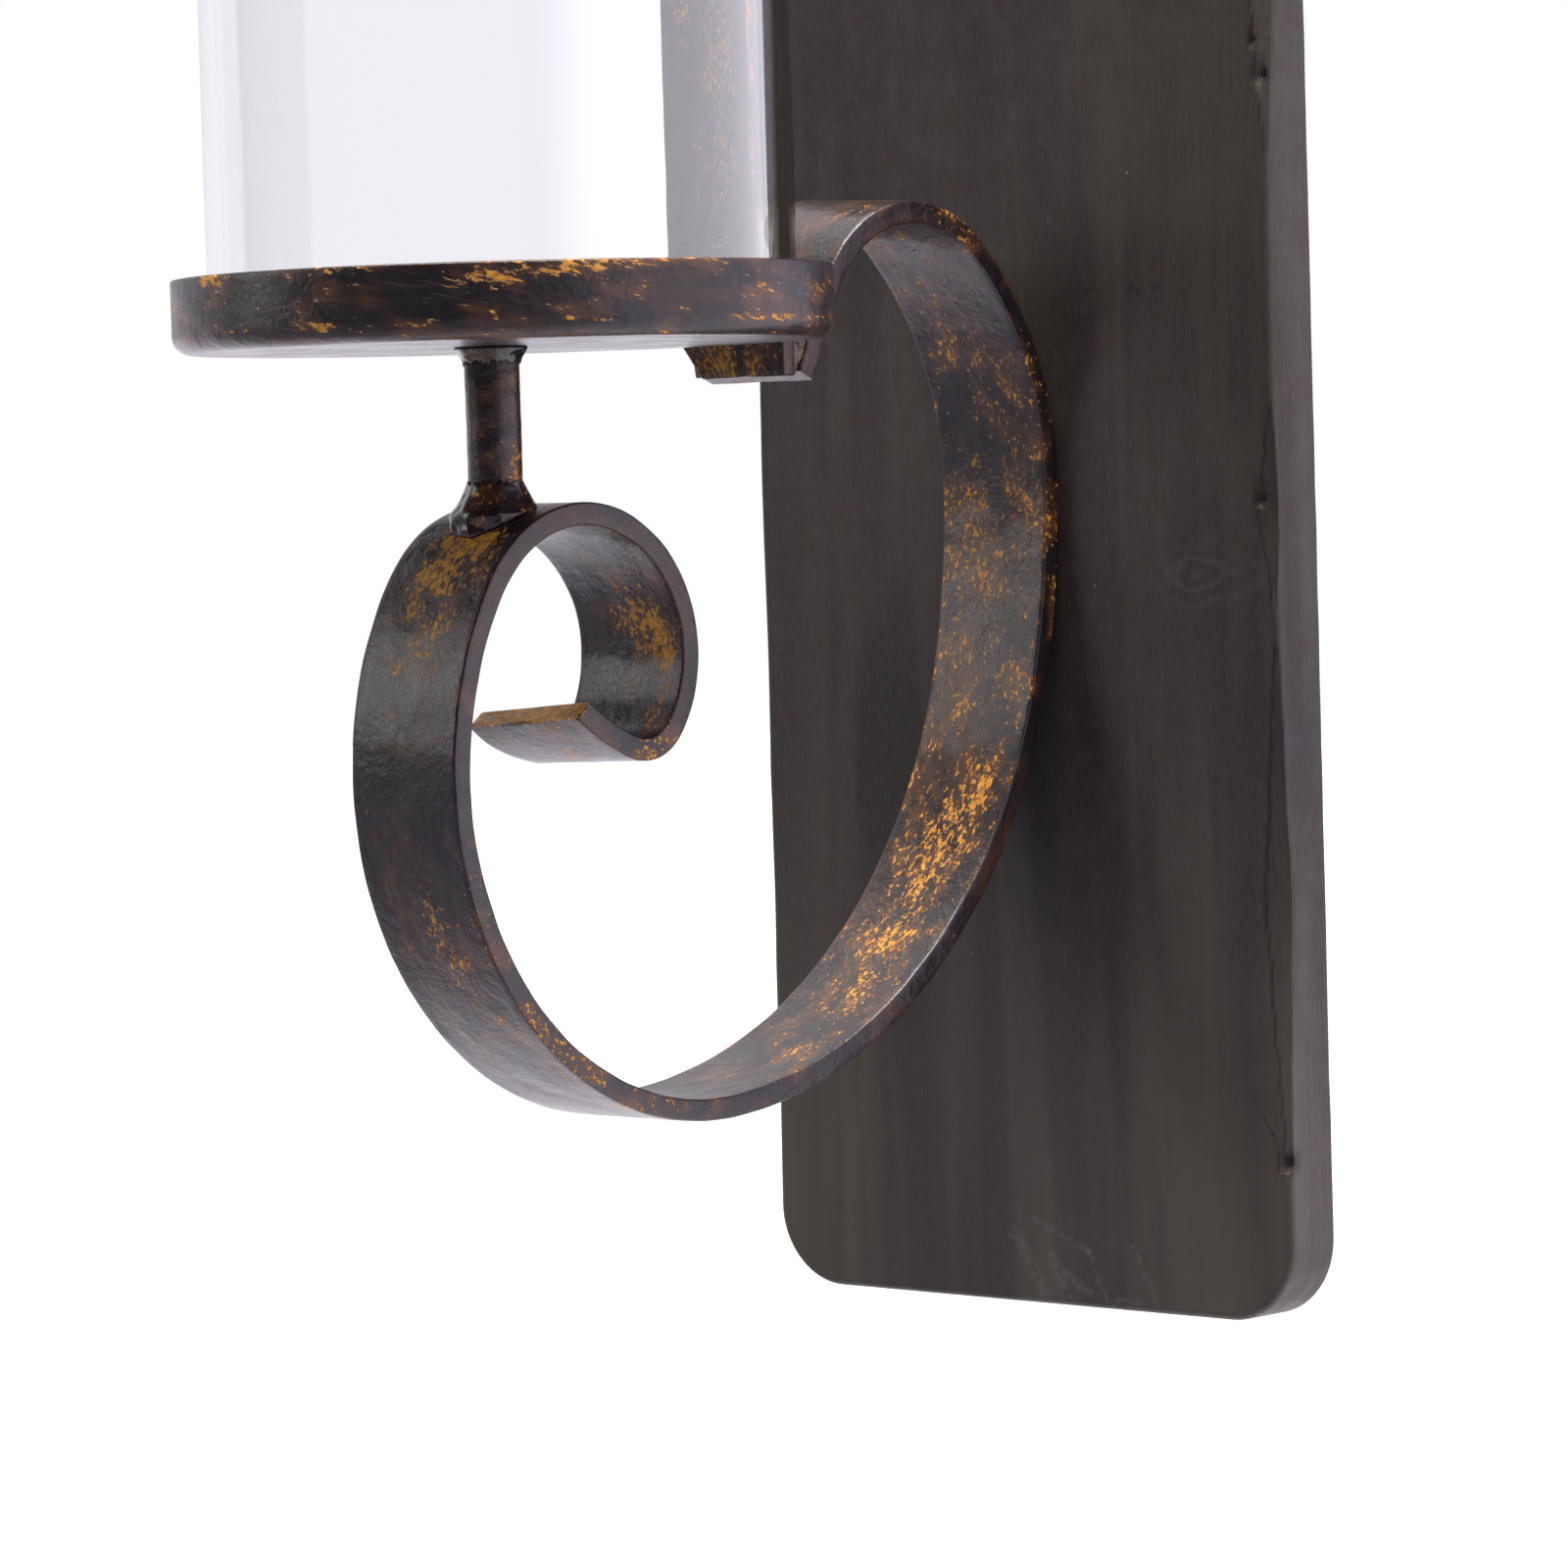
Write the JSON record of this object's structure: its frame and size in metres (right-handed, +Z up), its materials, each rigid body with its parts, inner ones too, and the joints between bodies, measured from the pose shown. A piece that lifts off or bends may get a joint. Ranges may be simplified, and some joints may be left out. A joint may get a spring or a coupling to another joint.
{
  "type": "wall sconce candle holder",
  "caption": "Wall sconce: a tall wooden back plate carries a flat-bar scroll bracket whose post holds a round metal tray with a lift-off glass cylinder for a pillar candle.",
  "frame": {"origin": "middle of the back plate's rear face, on the wall", "axes": "+Z up, +Y into the wall, X across the plate; the bracket stands out along -Y"},
  "size_m": [0.127, 0.2023, 0.4064],
  "materials": {
    "aged_metal": "near-black satin paint, finely pitted, with ochre rub-through",
    "stained_wood": "dark grey-brown stain with soft streaks and worn edges",
    "clear_glass": "clear polished",
    "zinc_steel": "dull zinc plate"
  },
  "bodies": {
    "bracket": {"back_plate": "stained_wood", "scroll_bracket": "aged_metal", "back_strap": "aged_metal", "candle_tray": "aged_metal", "tray_post": "aged_metal", "post_foot_weld": "aged_metal", "post_head_weld": "aged_metal", "strap_foot_weld": "aged_metal", "tray_tack_welds": "aged_metal", "bracket_studs": "zinc_steel", "stud_washers": "zinc_steel", "stud_nuts": "zinc_steel", "keyhole_hanger": "zinc_steel", "hanger_screws": "zinc_steel"},
    "glass": {"glass_shade": "clear_glass"}
  },
  "joints": [
    {"name": "glass_lift", "type": "slide", "parent": "bracket", "child": "glass", "axis": [0, 0, 1], "range_m": [0, 0.152]}
  ]
}
